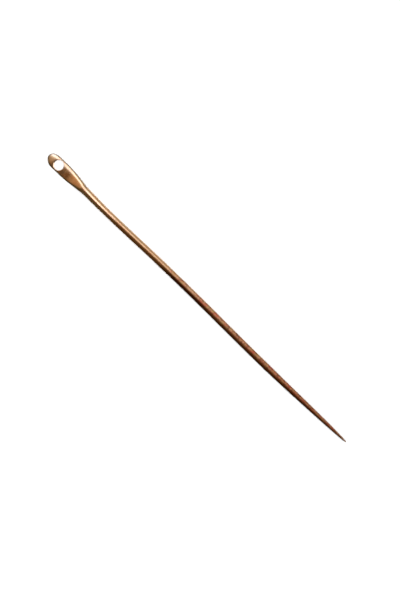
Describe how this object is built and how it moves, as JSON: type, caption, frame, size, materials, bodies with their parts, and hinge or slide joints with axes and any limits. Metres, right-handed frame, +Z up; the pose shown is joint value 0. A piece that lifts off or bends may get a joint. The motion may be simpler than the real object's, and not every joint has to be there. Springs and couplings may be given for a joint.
{
  "type": "cable needle",
  "caption": "Slim hand-forged bronze needle with a flattened, pierced paddle head, a round shank with a slight bow and a long fine point.",
  "frame": {"origin": "centre of the needle's box in X and Y, on the surface that the needle lies on", "axes": "+X along the needle from the head to the point, +Z up out of the upper face of the head, along the eye"},
  "size_m": [0.127, 0.0042, 0.0024],
  "materials": {
    "bronze": "hand polished at the head, satin and mottled with patina towards the point"
  },
  "bodies": {
    "root": {"head": "bronze", "shank": "bronze"}
  },
  "joints": []
}
